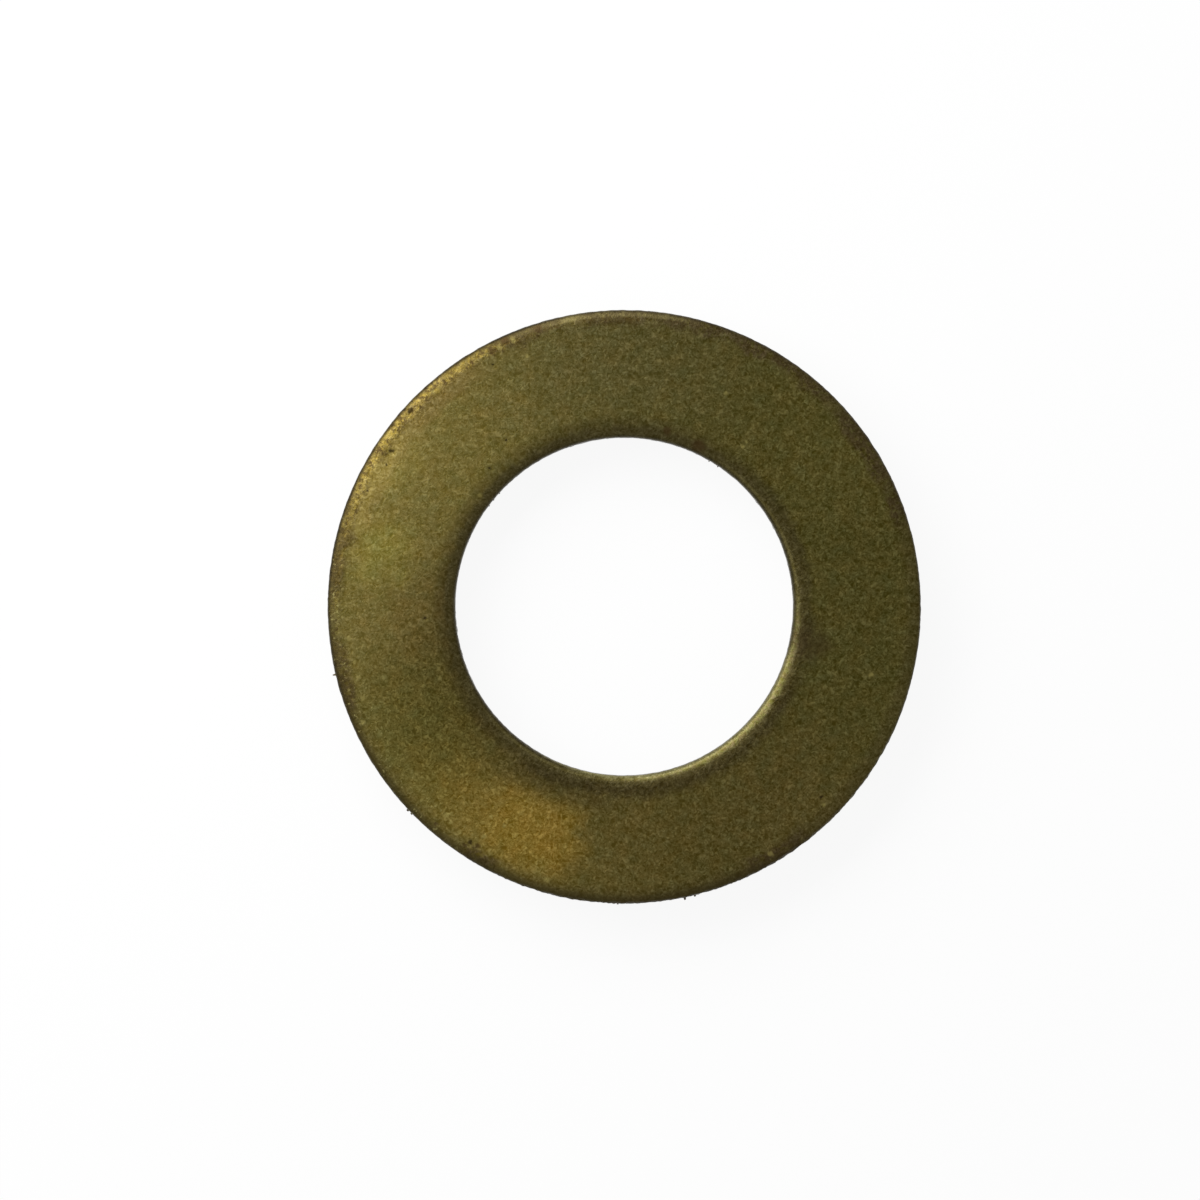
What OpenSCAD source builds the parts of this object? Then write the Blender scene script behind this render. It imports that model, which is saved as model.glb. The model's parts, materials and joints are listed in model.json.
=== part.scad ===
// Flat washer stamped from brass plate. The rolled edges face up, and the origin is the middle of
// the lower face, with +Z along the bore.

/* [Washer] */
// Outer diameter, measured over the burnished band of the rim
outer_d = 30; // [26:0.5:45]
// Bore diameter, measured in its burnished band, with room for a 16 mm bolt
bore_d = 17.1; // [8:0.1:20]
// Thickness of the plate
plate_t = 3; // [2.5:0.1:6]

/* [Rolled edge of the bore] */
// How far the roll reaches out along the upper face
bore_roll_w = 1.3; // [0.7:0.05:1.6]
// How far the roll sinks below the upper face
bore_roll_d = 0.54; // [0.44:0.01:0.65]
// Radius of the nose where the roll turns down into the bore
bore_nose_r = 0.4; // [0.1:0.01:0.42]

/* [Rolled edge of the rim] */
// How far the roll reaches in along the upper face
rim_roll_w = 0.75; // [0.6:0.05:1.2]
// How far the roll sinks below the upper face
rim_roll_d = 0.36; // [0.32:0.01:0.55]
// Radius of the nose where the roll turns down the rim
rim_nose_r = 0.28; // [0.1:0.01:0.3]

/* [Sheared walls] */
// Height of the burnished band in the bore, which the punch left straight
bore_band_h = 1.2; // [0.4:0.05:1.3]
// Height of the burnished band round the rim
rim_band_h = 1.2; // [0.4:0.05:1.4]
// Gap between punch and die on each side, which the broken wall slants across
die_gap = 0.14; // [0.05:0.01:0.4]
// Bevel that tumbling left on the lower edges in place of the burr
edge_break = 0.08; // [0.02:0.01:0.2]

/* [Hidden] */
$fa = 2;
$fs = 0.05;

bore_r = bore_d / 2;
rim_r = outer_d / 2;
// Heights of the upper and lower ends of the two burnished bands
bore_band_top = plate_t - bore_roll_d;
bore_band_foot = bore_band_top - bore_band_h;
rim_band_top = plate_t - rim_roll_d;
rim_band_foot = rim_band_top - rim_band_h;

// A rolled edge is two arcs in section: a shallow one, level where it leaves the face, and a nose,
// upright where it joins the wall. The nose stands this far proud of the shallow arc where they meet,
// which is enough for the two outlines to cross and too little to feel.
nose_proud = 0.00005;

// Radius of the shallow arc that leaves the face at the roll's full width and meets the nose so
function shallow_r(w, d, nose) =
    let (inner = nose - nose_proud)
    ((w - nose) ^ 2 + d ^ 2 - inner ^ 2) / (2 * (d - inner));

// Distance from the wall to the point where the two arcs meet, on the line through their centres
function meeting_x(w, d, nose) =
    let (slope = atan((w - nose) / (shallow_r(w, d, nose) - d)))
    nose * (1 - sin(slope));

// Upright rectangle between two corners
module span(low, high) {
    polygon([low, [high.x, low.y], high, [low.x, high.y]]);
}

// Metal of a rolled edge, above the wall's top, from a corner at the origin
module roll(w, d, nose) {
    arc_r = shallow_r(w, d, nose);
    meet_x = meeting_x(w, d, nose);
    intersection() {
        translate([nose, -d]) circle(nose);
        span([-nose, -d], [nose, 0]);
    }
    intersection() {
        translate([w, -arc_r]) circle(arc_r);
        span([meet_x, -d], [w, d]);
    }
}

// Metal below and between the two rolls
module sheared_outline() {
    polygon([
        [bore_r + die_gap + edge_break, 0],
        [rim_r - die_gap - edge_break, 0],
        [rim_r - die_gap, edge_break],
        [rim_r, rim_band_foot],
        [rim_r, rim_band_top],
        [rim_r - rim_roll_w, rim_band_top],
        [rim_r - rim_roll_w, plate_t],
        [bore_r + bore_roll_w, plate_t],
        [bore_r + bore_roll_w, bore_band_top],
        [bore_r, bore_band_top],
        [bore_r, bore_band_foot],
        [bore_r + die_gap, edge_break]
    ]);
}

module section() {
    sheared_outline();
    translate([bore_r, plate_t]) roll(bore_roll_w, bore_roll_d, bore_nose_r);
    translate([rim_r, plate_t]) mirror([1, 0]) roll(rim_roll_w, rim_roll_d, rim_nose_r);
}

module washer() {
    color([0.36, 0.33, 0.17]) rotate_extrude() section();
}

washer();
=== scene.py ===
import json
import math

import bmesh
import bpy
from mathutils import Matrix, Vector


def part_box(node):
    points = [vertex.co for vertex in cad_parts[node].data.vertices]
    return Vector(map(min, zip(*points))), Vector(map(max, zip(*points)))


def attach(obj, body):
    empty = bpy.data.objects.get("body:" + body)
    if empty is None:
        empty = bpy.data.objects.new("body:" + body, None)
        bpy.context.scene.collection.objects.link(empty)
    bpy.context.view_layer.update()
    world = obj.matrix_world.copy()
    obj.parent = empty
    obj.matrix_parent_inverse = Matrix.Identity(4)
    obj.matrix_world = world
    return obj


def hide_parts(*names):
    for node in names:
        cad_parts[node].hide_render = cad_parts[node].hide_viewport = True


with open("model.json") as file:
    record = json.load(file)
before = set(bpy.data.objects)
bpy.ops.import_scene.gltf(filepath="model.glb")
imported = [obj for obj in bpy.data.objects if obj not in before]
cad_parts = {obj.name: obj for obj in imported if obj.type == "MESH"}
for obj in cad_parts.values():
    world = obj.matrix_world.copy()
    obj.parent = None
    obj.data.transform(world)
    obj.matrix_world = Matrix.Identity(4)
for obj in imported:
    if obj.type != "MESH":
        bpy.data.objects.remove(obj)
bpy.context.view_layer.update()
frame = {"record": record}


# The washer
# One flat ring of brass plate, stamped in a single stroke. Punch and die drew its upper edges down into soft
# rolls, burnished the upper part of each wall and tore the rest. Tumbling then broke the lower edges.

MM = 0.001
bore = next(mount for mount in frame["record"]["mounts"] if mount["name"] == "bore")
bore_r = bore["dims"]["r_mm"] * MM
bore_band_h = bore["dims"]["length_mm"] * MM
rim_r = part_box("washer")[1].x
plate_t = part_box("washer")[1].z
rim_band_h = 1.2 * MM
bore_roll_w, bore_roll_d, bore_nose_r = 1.3 * MM, 0.54 * MM, 0.4 * MM
rim_roll_w, rim_roll_d, rim_nose_r = 0.75 * MM, 0.36 * MM, 0.28 * MM
die_gap = 0.14 * MM
edge_break = 0.08 * MM
bore_band_top = plate_t - bore_roll_d
bore_band_foot = bore_band_top - bore_band_h
rim_band_top = plate_t - rim_roll_d
rim_band_foot = rim_band_top - rim_band_h

points_around = 720


def straight(start, end, steps):
    """Points of the section along a straight stretch, without the first. A point is (radius, height)."""
    return [Vector(start).lerp(Vector(end), step / steps) for step in range(1, steps + 1)]


def curved(centre, radius, first_deg, last_deg, steps):
    """Points of the section along an arc, without the first."""
    points = []
    for step in range(1, steps + 1):
        turn = math.radians(first_deg + (last_deg - first_deg) * step / steps)
        points.append(Vector(centre) + radius * Vector((math.cos(turn), math.sin(turn))))
    return points


def shallow_arc(width, depth, nose):
    """Radius of a roll's shallow arc, and the slope in degrees at which it meets the nose."""
    radius = ((width - nose) ** 2 + depth ** 2 - nose ** 2) / (2 * (depth - nose))
    return radius, math.degrees(math.atan((width - nose) / (radius - depth)))


# The section is walked from the bore's lower edge along the underside, up the rim, over the face and down
# the bore, which ends where it began. The last number of a stretch is how many steps it has.
rim_arc_r, rim_slope = shallow_arc(rim_roll_w, rim_roll_d, rim_nose_r)
bore_arc_r, bore_slope = shallow_arc(bore_roll_w, bore_roll_d, bore_nose_r)
section = [Vector((bore_r + die_gap + edge_break, 0))]
section += straight(section[-1], (rim_r - die_gap - edge_break, 0), 26)
section += straight(section[-1], (rim_r - die_gap, edge_break), 2)
section += straight(section[-1], (rim_r, rim_band_foot), 12)
section += straight(section[-1], (rim_r, rim_band_top), 6)
section += curved((rim_r - rim_nose_r, rim_band_top), rim_nose_r, 0, 90 - rim_slope, 8)
section += curved((rim_r - rim_roll_w, plate_t - rim_arc_r), rim_arc_r, 90 - rim_slope, 90, 5)
section += straight(section[-1], (bore_r + bore_roll_w, plate_t), 32)
section += curved((bore_r + bore_roll_w, plate_t - bore_arc_r), bore_arc_r, 90, 90 + bore_slope, 8)
section += curved((bore_r + bore_nose_r, bore_band_top), bore_nose_r, 90 + bore_slope, 180, 8)
section += straight(section[-1], (bore_r, bore_band_foot), 6)
section += straight(section[-1], (bore_r + die_gap, edge_break), 12)
section += straight(section[-1], section[0], 2)[:-1]

bpy.ops.object.select_all(action="DESELECT")
bpy.ops.mesh.primitive_circle_add(vertices=points_around, radius=section[0].x, fill_type="NOTHING")
washer = bpy.context.object
washer.name = washer.data.name = "brass_washer"
bpy.ops.object.mode_set(mode="EDIT")
for before, now in zip(section, section[1:]):
    bpy.ops.mesh.extrude_edges_move(TRANSFORM_OT_translate={"value": (0, 0, now.y - before.y)})
    bpy.ops.transform.resize(value=(now.x / before.x, now.x / before.x, 1))
bpy.ops.mesh.select_all(action="DESELECT")
bpy.ops.mesh.select_non_manifold()
bpy.ops.mesh.bridge_edge_loops()
bpy.ops.mesh.select_all(action="SELECT")
bpy.ops.mesh.normals_make_consistent(inside=False)
bpy.ops.object.mode_set(mode="OBJECT")


def zone(name, weigh):
    """Vertex group of the points for which weigh(radius, height, degrees) gives a weight above 0."""
    group = washer.vertex_groups.new(name=name)
    for vertex in washer.data.vertices:
        turn = math.degrees(math.atan2(vertex.co.y, vertex.co.x)) % 360
        weight = weigh(vertex.co.xy.length, vertex.co.z, turn)
        if weight > 0:
            group.add([vertex.index], min(weight, 1), "REPLACE")
    return name


def ramp(value, low, high):
    """0 at low and below, 1 at high and above."""
    return min(max((value - low) / (high - low), 0), 1)


def roughen(group, grain, height, direction="NORMAL", lengthened=1, middle=0.5):
    """Raises and sinks a zone in lumps of one grain size. The height is from lowest to highest, and middle is
    the part of it below the surface as it was. Lengthened lumps are so many times as tall as wide."""
    lumps = bpy.data.textures.new(group, "CLOUDS")
    lumps.noise_scale = grain
    lumps.noise_depth = 2
    scale = bpy.data.objects.new(group, None)
    scale.scale.z = lengthened
    bpy.context.scene.collection.objects.link(scale)
    press = washer.modifiers.new(group, "DISPLACE")
    press.texture = lumps
    press.texture_coords = "OBJECT"
    press.texture_coords_object = scale
    press.vertex_group = group
    press.direction = direction
    press.strength = height
    press.mid_level = middle
    bpy.context.view_layer.objects.active = washer
    bpy.ops.object.modifier_apply(modifier=group)
    bpy.data.objects.remove(scale)


def band_foot(radius):
    """Height at which the burnished band of the nearer wall ends."""
    return bore_band_foot if radius < (bore_r + rim_r) / 2 else rim_band_foot


def into_plate(radius):
    """How far inside the nearer burnished band a point lies."""
    return min(radius - bore_r, rim_r - radius)


def foot_line(radius, height, turn):
    """Near the foot of either burnished band, where the tear began at an uneven height."""
    below_rolls = edge_break < height < plate_t - 0.7 * MM
    return 1 - ramp(abs(height - band_foot(radius)), 0.1 * MM, 0.8 * MM) if below_rolls else 0


def torn(radius, height, turn):
    """The broken part of either wall."""
    wall = into_plate(radius) < die_gap * 1.3 and height > edge_break / 2
    return ramp(band_foot(radius) - height, 0, 0.15 * MM) if wall else 0


def burnished(radius, height, turn):
    """The straight part of either wall."""
    wall = into_plate(radius) < 0.01 * MM
    return ramp(height - band_foot(radius), -0.05 * MM, 0.1 * MM) if wall else 0


def ragged(radius, height, turn):
    """The rim's lower half as the photograph is seen, where its outline is roughest."""
    lower_half = 1 - ramp(abs(turn - 290), 34, 60)
    return lower_half * ramp(height, 0.9 * MM, 1.2 * MM) * ramp(rim_r - radius, 0.3 * MM, 0.1 * MM)


def face_and_rolls(radius, height, turn):
    """What shows from above."""
    return ramp(height, plate_t - 0.6 * MM, plate_t - 0.3 * MM)


roughen(zone("foot_line", foot_line), grain=2.6 * MM, height=0.5 * MM, direction="Z")
roughen(zone("torn", torn), grain=0.3 * MM, height=0.14 * MM, lengthened=2)
roughen(zone("burnished", burnished), grain=0.25 * MM, height=0.045 * MM, lengthened=40)
roughen(zone("ragged", ragged), grain=0.16 * MM, height=0.12 * MM, middle=0.36)
roughen(zone("plate", face_and_rolls), grain=5 * MM, height=0.05 * MM, direction="Z")
roughen(zone("tumbled", face_and_rolls), grain=0.4 * MM, height=0.016 * MM)

# Slivers that the tear left on the walls: direction from the axis in degrees, length in millimetres
# (less than 0 in the bore), and how wide the tip is beside the root. Each is drawn out in two halves.
slivers = (
    (193.2, 0.17, 0.35), (223.4, 0.10, 0.9), (224.3, 0.08, 0.8), (268.5, 0.07, 0.6), (281.7, 0.15, 0.7),
    (284.0, 0.10, 0.7), (291.5, 0.05, 0.7), (85.3, 0.03, 0.6), (59.7, -0.05, 0.6), (56.2, -0.05, 0.6),
    (137.8, -0.03, 0.9), (140.6, -0.03, 0.9), (143.4, -0.03, 0.9),
)
bpy.ops.object.select_all(action="DESELECT")
washer.select_set(True)
bpy.ops.object.mode_set(mode="EDIT")
bpy.ops.mesh.select_mode(type="FACE")
shape = bmesh.from_edit_mesh(washer.data)
for turn, length, tip in slivers:
    way = Vector((math.cos(math.radians(turn)), math.sin(math.radians(turn)), 0))
    root = way * (rim_r if length > 0 else bore_r)
    root.z = band_foot(root.length) + 0.2 * MM
    bpy.ops.mesh.select_all(action="DESELECT")
    shape.faces.ensure_lookup_table()
    nearest = min(shape.faces, key=lambda face: (face.calc_center_median() - root).length)
    nearest.select = True
    shape.select_flush(True)
    centre = nearest.calc_center_median()
    bmesh.update_edit_mesh(washer.data)
    step = way * length * MM / 2
    for _ in range(2):
        bpy.ops.mesh.extrude_region_move(TRANSFORM_OT_translate={"value": step})
        centre = centre + step
        bpy.ops.transform.resize(value=(tip**0.5,) * 3, center_override=centre)

# Pits and nicks of the face, and flecks of bare brass, as places from the axis and sizes, in millimetres.
pits = (
    (-10.82, 9.88, 0.15), (-11.78, 7.86, 0.13), (-12.04, 7.20, 0.09), (-5.97, 8.41, 0.09),
    (-6.62, 12.21, 0.09), (-6.78, 7.00, 0.1), (-7.79, -11.91, 0.14), (9.96, -9.64, 0.1),
    (-10.09, -0.61, 0.1), (-13.0, 5.9, 0.08),
)
nicks = (
    (-6.02, 13.43, 0.22), (-6.69, 12.93, 0.2), (-4.36, 14.09, 0.22), (-13.35, 6.07, 0.12),
    (-8.08, -12.06, 0.12), (-7.41, -12.08, 0.12), (-9.49, -10.98, 0.08), (3.77, 8.14, 0.34),
    (2.17, 8.87, 0.22),
)
flecks = (
    (-4.90, 12.71, 0.1), (-13.93, -1.67, 0.1), (-13.60, -2.81, 0.1), (5.99, 8.10, 0.1),
    (6.2, 8.35, 0.06), (12.47, -3.44, 0.12), (-6.30, 13.09, 0.14), (-5.59, 13.45, 0.14),
    (-13.22, -4.66, 0.12), (-9.68, 10.87, 0.12), (-7.31, 5.61, 0.1), (-13.22, -5.82, 0.1),
    (10.04, -9.97, 0.1), (5.13, 10.77, 0.12), (7.41, -12.50, 0.13), (-9.00, -10.49, 0.1),
    (-8.81, -10.92, 0.1), (-8.33, -11.41, 0.12), (-6.74, -10.61, 0.09), (-7.10, -11.59, 0.12),
    (-8.81, -8.28, 0.09), (-10.23, -9.75, 0.1), (-6.06, -11.10, 0.1), (-3.92, -13.81, 0.12),
)
pit_depth = 0.05 * MM
bpy.ops.mesh.select_mode(type="VERT")
shape = bmesh.from_edit_mesh(washer.data)
for x, y, size in pits:
    bpy.ops.mesh.select_all(action="DESELECT")
    middle = Vector((x * MM, y * MM, plate_t))
    nearest = min(shape.verts, key=lambda point: (point.co - middle).length)
    nearest.select = True
    shape.select_flush(True)
    bmesh.update_edit_mesh(washer.data)
    bpy.ops.transform.translate(
        value=(0, 0, -pit_depth),
        use_proportional_edit=True,
        proportional_edit_falloff="SMOOTH",
        proportional_size=size * 2 * MM,
    )
bpy.ops.object.mode_set(mode="OBJECT")

crease_deg = 40
bpy.ops.object.shade_smooth_by_angle(angle=math.radians(crease_deg))

# The brass was never cleaned. An even olive film lies over the whole ring, thin and golden where the rim has
# rubbed against others, thick and brown in the roll round the bore. Painted light and shade lie over it too.


def paint(red, green, blue):
    """A colour given as it shows on a screen, from 0 to 255, in the values that a shader takes."""
    return [*[(part / 255) ** 2.2 for part in (red, green, blue)], 1]


tarnish = bpy.data.materials.new("tarnished_brass")
tarnish.use_nodes = True
nodes, links = tarnish.node_tree.nodes, tarnish.node_tree.links
brass = nodes["Principled BSDF"]


def feed(socket, value):
    """Joins a node's output to the socket, or sets the socket to a plain value."""
    if isinstance(value, bpy.types.NodeSocket):
        links.new(value, socket)
    else:
        socket.default_value = value


def calc(operation, first, second=0.0, third=0.0):
    """A sum of up to three numbers, each a node's output or plain."""
    node = nodes.new("ShaderNodeMath")
    node.operation = operation
    feed(node.inputs[0], first)
    feed(node.inputs[1], second)
    feed(node.inputs[2], third)
    return node.outputs[0]


def vector(operation, first, second=(0, 0, 0)):
    """The same for vectors and colours."""
    node = nodes.new("ShaderNodeVectorMath")
    node.operation = operation
    feed(node.inputs[0], first)
    feed(node.inputs[1], second)
    one_number = operation in ("LENGTH", "DISTANCE", "DOT_PRODUCT")
    return node.outputs["Value" if one_number else "Vector"]


def fade(value, low, high):
    """A soft step from 0 at low to 1 at high, or down where low is the larger."""
    node = nodes.new("ShaderNodeMapRange")
    node.interpolation_type = "SMOOTHSTEP"
    falls = low > high
    feed(node.inputs["Value"], value)
    node.inputs["From Min"].default_value = min(low, high)
    node.inputs["From Max"].default_value = max(low, high)
    node.inputs["To Min"].default_value = 1 if falls else 0
    node.inputs["To Max"].default_value = 0 if falls else 1
    return node.outputs["Result"]


def speckle(where, size, detail=2.0, roughness=0.5, distortion=0.0):
    """Noise from 0 to 1 whose lumps have about the size given in millimetres."""
    node = nodes.new("ShaderNodeTexNoise")
    feed(node.inputs["Vector"], where)
    node.inputs["Scale"].default_value = 1 / size
    node.inputs["Detail"].default_value = detail
    node.inputs["Roughness"].default_value = roughness
    node.inputs["Distortion"].default_value = distortion
    return node.outputs["Fac"]


def coat(under, over, cover):
    """Lays one colour over another, by how much of it covers."""
    node = nodes.new("ShaderNodeMix")
    node.data_type = "RGBA"
    feed(node.inputs["Factor"], cover)
    feed(node.inputs["A"], under)
    feed(node.inputs["B"], over)
    return node.outputs["Result"]


def tone(value, low, high):
    """An even step from 0 at low to 1 at high."""
    step = fade(value, low, high)
    step.node.interpolation_type = "LINEAR"
    return step


def both(first, second):
    """Where two covers lie one inside the other, or one cover at a part of its strength."""
    return calc("MULTIPLY", first, second)


def either(first, second):
    """The stronger of two covers."""
    return calc("MAXIMUM", first, second)


def tinted(colour, first, second, turn):
    """The colour, made lighter, darker, warmer or colder by a tint between two, by how far it has turned."""
    return vector("MULTIPLY", colour, coat((*first, 1), (*second, 1), turn))


# Places are in millimetres from the middle of the lower face.
place = vector("MULTIPLY", nodes.new("ShaderNodeTexCoord").outputs["Object"], (1 / MM, 1 / MM, 1 / MM))
flat = vector("MULTIPLY", place, (1, 1, 0))
radius = vector("LENGTH", flat)
outward = vector("NORMALIZE", flat)
split = nodes.new("ShaderNodeSeparateXYZ")
feed(split.inputs[0], place)
height = split.outputs["Z"]
from_above = fade(height, 2.3, 2.5)


def sector(middle_deg, half_deg, soft_deg):
    """1 within so many degrees of a direction from the axis, anticlockwise from the right."""
    turn = math.radians(middle_deg)
    cosine = vector("DOT_PRODUCT", outward, (math.cos(turn), math.sin(turn), 0))
    return fade(cosine, math.cos(math.radians(half_deg + soft_deg)), math.cos(math.radians(half_deg)))


def shaken(size, reach):
    """Places moved about by up to the reach, in lumps of one size, which makes an edge drawn there ragged."""
    offset = vector("SUBTRACT", speckle(place, size, 2).node.outputs["Color"], (0.5, 0.5, 0.5))
    return vector("ADD", flat, vector("MULTIPLY", offset, (reach * 2, reach * 2, 0)))


def curl(shift):
    """0 along short curled lines, rising to either side of them."""
    lines = speckle(vector("ADD", place, (shift, shift, shift)), 0.22, 1, 0.55, 0.6)
    return calc("ABSOLUTE", calc("SUBTRACT", lines, 0.5))


# The matte grain that tumbling and age left: light and dark curled streaks over softer lumps.
curls = calc("SUBTRACT", curl(40), curl(0))
softer = speckle(place, 0.5, 2, 0.9)
grain = calc("ADD", calc("MULTIPLY_ADD", curls, 1.1, 0.29), both(softer, 0.42))
lumps = speckle(place, 0.9, 3, 0.6)
mottle = speckle(vector("ADD", place, (20, 20, 20)), 0.7, 3, 0.6)
bitten = speckle(place, 0.28, 3, 0.65)
coarsely = shaken(1.3, 0.9)
finely = shaken(0.3, 0.16)
ragged_radius = vector("LENGTH", shaken(0.55, 0.28))


def spot(x, y, size, soft=0.5):
    """1 within so many millimetres of a point of the face, with a wide ragged edge."""
    away = vector("DISTANCE", coarsely, (x, y, 0))
    return both(fade(away, size * (1 + soft), size * (1 - soft)), from_above)


def mark_at(x, y, size):
    """The same for a small mark."""
    away = vector("DISTANCE", finely, (x, y, 0))
    return both(fade(away, size * 1.5, size * 0.4), from_above)


def towards(middle_deg):
    """How far a point lies in that direction from the axis, in millimetres, unevenly."""
    turn = math.radians(middle_deg)
    return vector("DOT_PRODUCT", coarsely, (math.cos(turn), math.sin(turn), 0))


streaked = calc("POWER", tone(grain, 0.25, 0.75), 1.5)


def grained(red, green, blue, spread):
    """A film colour that the grain darkens or, less often, lightens, by about so many steps of a screen."""
    dark = paint(*[max(part - 0.75 * spread, 4) for part in (red, green, blue)])
    light = paint(*[part + 1.25 * spread for part in (red, green, blue)])
    return coat(dark, light, streaked)


# The film is thick and dark on the right, and thinner and lighter on the left, most of all away from
# the bore. The lighter left is partly worn film and partly painted light from the upper left.
worn_and_lit_left = both(fade(towards(173), -8.2, 13.6), calc("MULTIPLY_ADD", fade(radius, 9.3, 12.8), 0.11, 0.89))
film = coat(grained(64, 59, 26, 16), grained(99, 89, 45, 16), worn_and_lit_left)

# Wide patches of other colours: grey brown at the top, golden and yellow at the left, dark brown and mossy
# below them, and brown at the lower right. The orange one has a sharp edge, where something lay on it.
film = coat(film, grained(65, 61, 35, 17), both(spot(-0.7, 14.2, 5.8, 0.8), 0.5))
film = coat(film, grained(153, 141, 72, 18), both(spot(-13.6, 8.3, 2.3, 0.8), 0.5))
film = coat(film, grained(120, 112, 50, 18), both(spot(-12.4, 2.7, 1.4, 0.8), 0.5))
film = coat(film, grained(50, 33, 14, 20), both(spot(-5.7, -2.7, 5.8, 0.8), 0.6))
orange = either(spot(-4.6, -11.4, 3.1), both(spot(-8.4, -10.1, 2.5, 0.7), 0.6))
orange = both(orange, fade(towards(352), 0.4, -1.3))
orange = both(orange, both(fade(radius, 9.4, 11.5), fade(radius, 15.4, 13.0)))
film = coat(film, grained(114, 91, 29, 24), both(orange, 0.7))
film = coat(film, grained(62, 59, 14, 20), both(spot(-10.2, -6.1, 3.5, 0.8), 0.5))
film = coat(film, grained(75, 64, 32, 16), both(spot(7.9, -10.8, 4.2, 0.8), 0.5))
film = coat(film, grained(79, 65, 31, 17), both(spot(0.3, -12.0, 3.4, 0.8), 0.36))
film = coat(film, grained(86, 79, 38, 16), both(spot(10.3, 8.2, 3.4, 0.8), 0.13))
film = tinted(film, (0.93, 0.975, 0.98), (1.07, 1.025, 1.0), tone(lumps, 0.3, 0.7))
film = tinted(film, (0.967, 1.006, 1.12), (1.037, 0.994, 0.95), tone(mottle, 0.3, 0.7))

# The roll round the bore is darker, most of all below and at the right: dirt held in it, and painted shade.
ring_depth = calc("MULTIPLY_ADD", sector(305, 90, 30), 0.28, 0.34)
ring_depth = calc("MULTIPLY_ADD", sector(5, 15, 30), 0.2, ring_depth)
dirt_and_shade_ring = both(fade(ragged_radius, 9.8, 9.25), ring_depth)
wide_dirt_and_shade = both(fade(ragged_radius, 10.1, 9.3), sector(287, 42, 22))
faint_dirt_and_shade = both(fade(ragged_radius, 10.9, 9.6), sector(250, 10, 12))
wide_dirt_and_shade = either(wide_dirt_and_shade, both(faint_dirt_and_shade, 0.55))
ring_dirt_and_shade = both(either(dirt_and_shade_ring, wide_dirt_and_shade), both(fade(radius, 8.8, 9.0), from_above))
film = coat(film, grained(44, 38, 21, 12), both(ring_dirt_and_shade, calc("MULTIPLY_ADD", bitten, 0.4, 0.6)))
# Painted shade darkens the steep nose of the bore's roll all round.
film = coat(film, grained(59, 53, 30, 14), both(fade(ragged_radius, 9.3, 8.9), 0.85))

# Its lip carries a painted highlight at the lower right, in a crescent that is widest towards the bottom
# right.
from_lip_middle = vector("DISTANCE", shaken(0.55, 0.16), (0.333, -0.193, 0))
painted_lip_highlight = both(fade(from_lip_middle, 8.69, 8.46), sector(299, 43, 30))
lip_highlight_colour = coat(grained(82, 79, 42, 18), grained(86, 77, 49, 18), fade(bitten, 0.42, 0.58))
# Its crest carries a brighter painted highlight.
crest_highlight = both(fade(radius, 8.82, 8.62), sector(292, 47, 12))
crest_highlight_strength = calc("MULTIPLY_ADD", sector(262, 12, 14), 0.33, 0.62)
lip_highlight_colour = coat(lip_highlight_colour, grained(130, 123, 78, 24), both(crest_highlight, crest_highlight_strength))
film = coat(film, lip_highlight_colour, both(painted_lip_highlight, 0.9))
# A thin painted highlight along the lip at the lower left and upper right.
fine_highlight_line = both(fade(radius, 8.88, 8.8), fade(radius, 8.66, 8.75))
fine_highlight_line = both(fine_highlight_line, either(sector(245, 20, 12), sector(32, 17, 12)))
film = coat(film, grained(84, 77, 46, 14), both(fine_highlight_line, 0.55))
# Painted shade on the bore's nose at the upper left.
film = coat(film, paint(46, 39, 24), both(both(fade(radius, 8.95, 8.8), sector(135, 22, 14)), 0.25))
film = coat(film, paint(46, 38, 26), both(spot(9.3, -1.8, 0.9, 0.6), 0.5))

# The roll of the rim is rubbed golden at the upper left, with dark nicks, and stained brown elsewhere.
rim_roll = fade(ragged_radius, 14.0, 14.6)
film = coat(film, grained(63, 55, 31, 16), both(rim_roll, 0.35))
bruised = both(fade(ragged_radius, 13.3, 13.9), sector(142, 12, 14))
film = coat(film, grained(118, 96, 56, 20), both(bruised, 0.35))
thinly_rubbed = both(fade(ragged_radius, 13.5, 14.1), sector(154, 5, 10))
film = coat(film, grained(140, 124, 64, 20), both(thinly_rubbed, 0.4))
rubbed = both(fade(ragged_radius, 14.1, 14.6), sector(143, 11, 22))
gold = coat(grained(82, 69, 36, 16), grained(97, 84, 40, 18), fade(bitten, 0.42, 0.56))
film = coat(film, gold, both(rubbed, fade(lumps, 0.36, 0.5)))
bright_blobs = fade(speckle(vector("ADD", place, (3, 3, 3)), 0.26, 2, 0.6), 0.5, 0.6)
bright_blobs = both(bright_blobs, both(fade(ragged_radius, 14.3, 14.5), sector(145, 24, 14)))
film = coat(film, grained(128, 111, 55, 16), both(bright_blobs, 0.65))
dark_nicks = both(fade(bitten, 0.46, 0.38), both(rim_roll, sector(134, 50, 10)))
film = coat(film, paint(58, 46, 26), both(dark_nicks, 0.72))
bright_edge = both(fade(radius, 14.6, 14.72), sector(95, 10, 12))
film = coat(film, paint(112, 104, 68), both(bright_edge, 0.48))
rim_stains = sector(65, 4, 4)
for middle_deg, half_deg in (
    (56, 3), (49, 2), (34, 6), (21, 2), (76, 5), (91, 6), (109, 5), (171, 4), (194, 5), (240, 1), (302, 4),
):
    rim_stains = either(rim_stains, sector(middle_deg, half_deg, 4))
uneven_radius = vector("LENGTH", coarsely)
stained = both(fade(uneven_radius, 14.1, 14.6), both(rim_stains, fade(bitten, 0.34, 0.54)))
film = coat(film, grained(54, 43, 29, 12), both(stained, 0.62))
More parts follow.
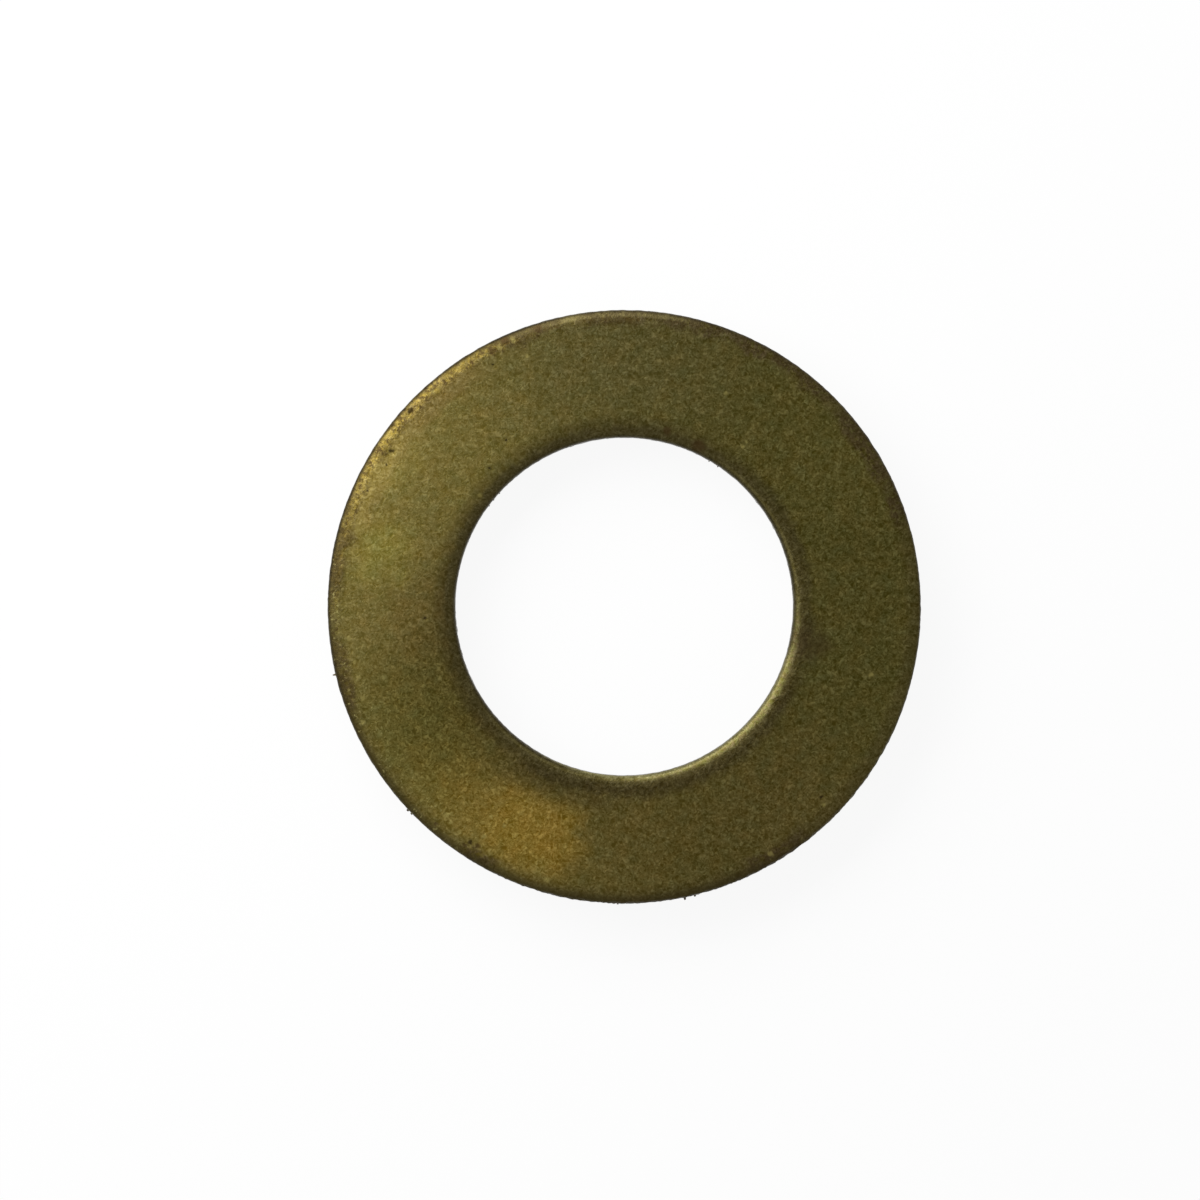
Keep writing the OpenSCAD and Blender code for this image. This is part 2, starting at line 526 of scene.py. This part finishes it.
shaded_edge = either(sector(228, 66, 18), both(sector(120, 4, 8), 0.6))
shaded_edge = both(shaded_edge, fade(radius, 14.5, 14.75))
film = coat(film, paint(46, 40, 24), both(shaded_edge, 0.5))
# Painted shade along the rim's outermost edge, all round and most at the upper left and lower left.
painted_edge_shade = calc("MULTIPLY_ADD", sector(245, 55, 25), 0.24, 0.12)
painted_edge_shade = calc("MULTIPLY_ADD", sector(138, 24, 16), 0.42, painted_edge_shade)
film = coat(film, paint(46, 40, 24), both(fade(radius, 14.74, 14.88), painted_edge_shade))

# Pits are full of dirt, a few specks are bare, and the left edge has many fine ones.
scuffs = fade(speckle(vector("ADD", place, (7, 7, 7)), 0.2, 1), 0.64, 0.74)
scuffs = both(both(scuffs, fade(ragged_radius, 13.1, 13.9)), both(sector(200, 26, 16), from_above))
film = coat(film, paint(150, 142, 92), both(scuffs, 0.35))
for x, y, size in pits:
    film = coat(film, paint(34, 25, 14), both(mark_at(x, y, size * 0.8), 0.8))
for x, y, size in nicks:
    film = coat(film, paint(56, 43, 25), both(mark_at(x, y, size), 0.7))
for x, y, size in flecks:
    film = coat(film, paint(132, 122, 72), both(mark_at(x, y, size), 0.42))

# The walls are streaked where punch and die burnished them, and dull and lumpy where they tore. The bore's
# wall is darker, partly with dirt and partly with painted shade, and the rim's lower edge is rubbed.
wall = both(fade(height, 2.62, 2.4), fade(height, 0.02, 0.12))
streaks = speckle(vector("MULTIPLY", place, (1, 1, 0.04)), 0.11, 3, 0.6)
lumpy = speckle(vector("MULTIPLY", place, (1, 1, 0.5)), 0.3, 3, 0.65)
band = fade(calc("MULTIPLY_ADD", speckle(place, 2.6, 1), -0.8, height), 0.85, 0.95)
wall_film = coat(paint(44, 38, 22), paint(80, 70, 42), tone(lumpy, 0.32, 0.68))
wall_film = coat(wall_film, coat(paint(68, 60, 34), paint(102, 91, 53), tone(streaks, 0.3, 0.7)), band)
# The bore's wall is darker: dirt, and painted shade.
wall_film = coat(wall_film, paint(42, 36, 22), both(fade(radius, 9.5, 9.0), 0.65))
film = coat(film, wall_film, wall)
sliver_tips = either(fade(radius, 15.03, 15.06), fade(radius, 8.52, 8.5))
lower_edge = both(fade(radius, 14.7, 14.82), fade(height, 0.16, 0.06))
film = coat(film, paint(128, 114, 70), both(both(lower_edge, fade(bitten, 0.4, 0.55)), 0.5))
film = coat(film, paint(50, 41, 26), both(sliver_tips, 0.9))

feed(brass.inputs["Base Color"], film)
brass.inputs["Metallic"].default_value = 0.9
brass.inputs["Specular IOR Level"].default_value = 0.2
roughness = calc("MULTIPLY_ADD", grain, 0.2, 0.34)
feed(brass.inputs["Roughness"], calc("MULTIPLY_ADD", both(wall, band), -0.1, roughness))

relief = nodes.new("ShaderNodeBump")
relief.inputs["Strength"].default_value = 0.55
relief.inputs["Distance"].default_value = 0.03 * MM
feed(relief.inputs["Height"], grain)
feed(brass.inputs["Normal"], relief.outputs["Normal"])

washer.data.materials.append(tarnish)
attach(washer, "root")
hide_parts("washer")


# The table and the light
# A plain white table, and one large soft lamp at the upper left. White walls all round fill the shadows. What
# looks at the table or a wall sees white, so that only a little of the washer's shadow is left on the table.


def looked_at():
    """1 for what the camera sees straight, in a gloss or through glass, and 0 for light on its way."""
    seen = nodes.new("ShaderNodeLightPath").outputs
    return either(either(seen["Is Camera Ray"], seen["Is Glossy Ray"]), seen["Is Transmission Ray"])


table_side = 1.6
table_gap = 0.02 * MM
table_whiteness = 0.92
bpy.ops.object.select_all(action="DESELECT")
bpy.ops.mesh.primitive_plane_add(size=table_side, location=(0, 0, -table_gap))
table = bpy.context.object
table.name = "table"
white = bpy.data.materials.new("white_table")
white.use_nodes = True
nodes, links = white.node_tree.nodes, white.node_tree.links
nodes.clear()
cloth = nodes.new("ShaderNodeBsdfDiffuse")
cloth.inputs["Color"].default_value = (0.9, 0.9, 0.9, 1)
glow = nodes.new("ShaderNodeEmission")
top = nodes.new("ShaderNodeMixShader")
feed(top.inputs["Fac"], both(looked_at(), table_whiteness))
feed(top.inputs[1], cloth.outputs[0])
feed(top.inputs[2], glow.outputs[0])
clear = nodes.new("ShaderNodeBsdfTransparent")
sheet = nodes.new("ShaderNodeMixShader")
feed(sheet.inputs["Fac"], nodes.new("ShaderNodeNewGeometry").outputs["Backfacing"])
feed(sheet.inputs[1], top.outputs[0])
feed(sheet.inputs[2], clear.outputs[0])
feed(nodes.new("ShaderNodeOutputMaterial").inputs["Surface"], sheet.outputs[0])
table.data.materials.append(white)

walls = bpy.data.worlds.new("white_walls")
bpy.context.scene.world = walls
walls.use_nodes = True
nodes, links = walls.node_tree.nodes, walls.node_tree.links
room_light = 0.3
nodes["Background"].inputs["Color"].default_value = (1, 1, 1, 1)
feed(nodes["Background"].inputs["Strength"], calc("MULTIPLY_ADD", looked_at(), 1 - room_light, room_light))

lamp_from = Vector((-0.70, 0.70, 0.80)).normalized()
lamp_away = 0.16
key_light = bpy.data.lights.new("soft_lamp", "AREA")
key_light.shape = "RECTANGLE"
key_light.size = 0.2
key_light.size_y = 0.12
key_light.energy = 0.4
key_lamp = bpy.data.objects.new("soft_lamp", key_light)
key_lamp.location = lamp_from * lamp_away
key_lamp.rotation_euler = lamp_from.to_track_quat("Z", "Y").to_euler()
key_lamp.visible_camera = False
bpy.context.scene.collection.objects.link(key_lamp)


# The camera
# It looks straight down from 600 mm above. Its picture is 60.7 mm wide at the burnished band of the rim, and
# the washer lies a little to the right of its middle and below it.

view_side = 60.69 * MM
view_middle = Vector((-1.226 * MM, 0.334 * MM))
camera_height = 600 * MM
camera = bpy.data.objects.new("camera", bpy.data.cameras.new("camera"))
camera.location = (view_middle.x, view_middle.y, rim_band_top + camera_height)
camera.data.sensor_width = 36
camera.data.lens = camera.data.sensor_width * camera_height / view_side
camera.data.clip_start = 0.01
camera.data.clip_end = 5
bpy.context.scene.collection.objects.link(camera)
bpy.context.scene.camera = camera
bpy.context.scene.view_settings.view_transform = "Standard"

bpy.context.view_layer.update()
